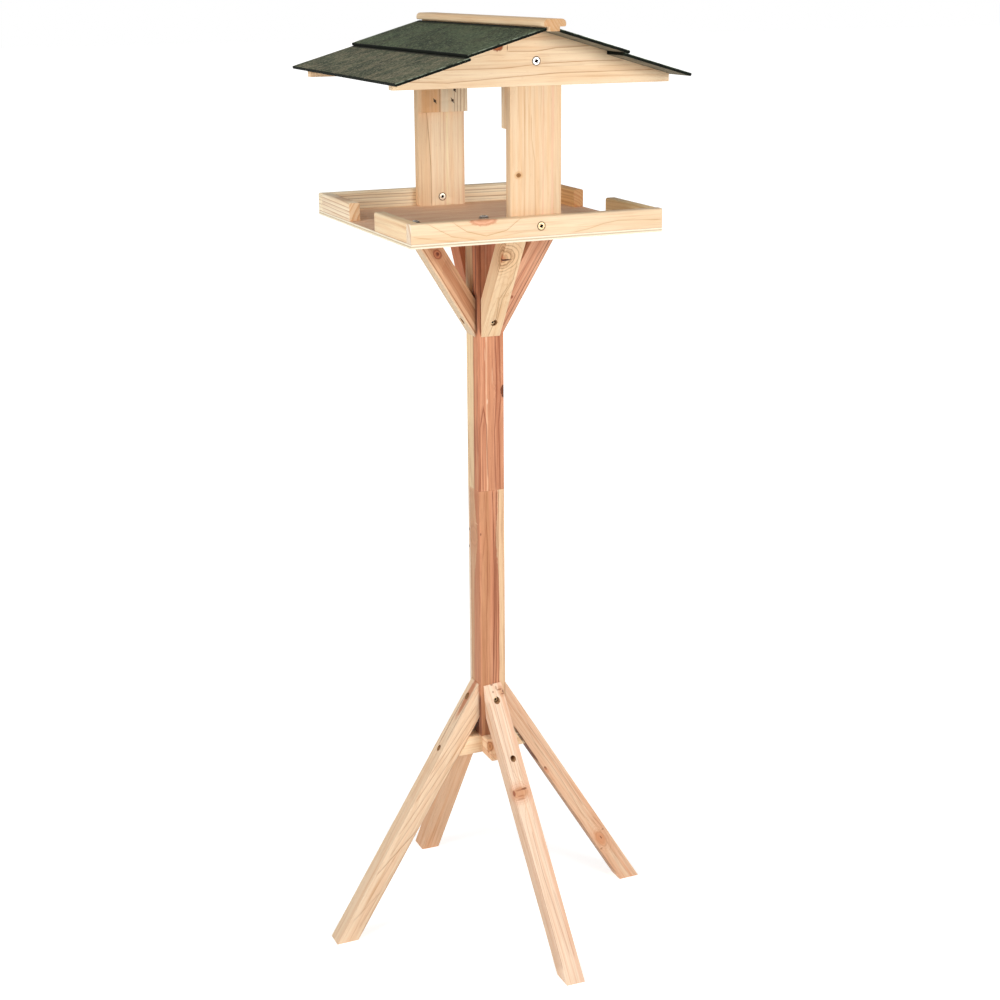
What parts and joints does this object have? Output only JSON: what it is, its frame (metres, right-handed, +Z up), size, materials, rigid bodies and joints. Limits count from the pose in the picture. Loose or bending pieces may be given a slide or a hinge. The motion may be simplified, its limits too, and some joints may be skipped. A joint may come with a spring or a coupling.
{
  "type": "bird table",
  "caption": "Square wooden pole on splayed legs and a lapped cross, braced under a rimmed plywood tray with two end boards and a stepped, felt-covered gabled roof.",
  "frame": {"origin": "on the ground, under the axis of the pole", "axes": "+Z up along the pole; the ridge runs along Y and the front gable, with its screw heads, faces -Y; +X is to the right of someone facing the front gable"},
  "size_m": [0.45, 0.4388, 1.1823],
  "materials": {
    "pole_wood": "planed reddish softwood, unvarnished",
    "frame_wood": "planed tan pine, unvarnished",
    "board_wood": "planed pale pine, unvarnished",
    "plywood": "matt brown plywood face with pale layered edges",
    "roof_felt": "thin boards covered in mottled dark green-grey mineral felt",
    "zinc_steel": "bright zinc-plated screws and nails"
  },
  "bodies": {
    "root": {"pole_lower": "pole_wood", "pole_upper": "pole_wood", "cross_bar_sideways": "frame_wood", "cross_bar_lengthways": "frame_wood", "leg_right": "frame_wood", "leg_back": "frame_wood", "leg_left": "frame_wood", "leg_front": "frame_wood", "brace_right": "frame_wood", "brace_back": "frame_wood", "brace_left": "frame_wood", "brace_front": "frame_wood", "rim_left_front": "board_wood", "rim_left_back": "board_wood", "rim_right_front": "board_wood", "rim_right_back": "board_wood", "ridge_bar": "board_wood", "rim_front": "board_wood", "post_front": "board_wood", "cleat_front": "board_wood", "gable_front": "board_wood", "rim_back": "board_wood", "post_back": "board_wood", "cleat_back": "board_wood", "gable_back": "board_wood", "tray_base": "plywood", "roof_upper_right": "roof_felt", "roof_lower_right": "roof_felt", "roof_upper_left": "roof_felt", "roof_lower_left": "roof_felt", "pole_joint_screw": "zinc_steel", "cross_screw": "zinc_steel", "pole_top_screw": "zinc_steel", "leg_top_screw_right": "zinc_steel", "leg_top_screw_back": "zinc_steel", "leg_top_screw_left": "zinc_steel", "leg_top_screw_front": "zinc_steel", "leg_cross_screw_right": "zinc_steel", "leg_cross_screw_back": "zinc_steel", "leg_cross_screw_left": "zinc_steel", "leg_cross_screw_front": "zinc_steel", "brace_foot_screw_right": "zinc_steel", "brace_foot_screw_back": "zinc_steel", "brace_foot_screw_left": "zinc_steel", "brace_foot_screw_front": "zinc_steel", "brace_top_screw_right": "zinc_steel", "brace_top_screw_left": "zinc_steel", "rim_screw_front": "zinc_steel", "rim_screw_back": "zinc_steel", "gable_screw_front": "zinc_steel", "gable_screw_back": "zinc_steel", "cleat_nail_front_1": "zinc_steel", "cleat_nail_front_2": "zinc_steel", "cleat_nail_front_3": "zinc_steel", "cleat_nail_back_1": "zinc_steel", "cleat_nail_back_2": "zinc_steel", "cleat_nail_back_3": "zinc_steel"}
  },
  "joints": []
}
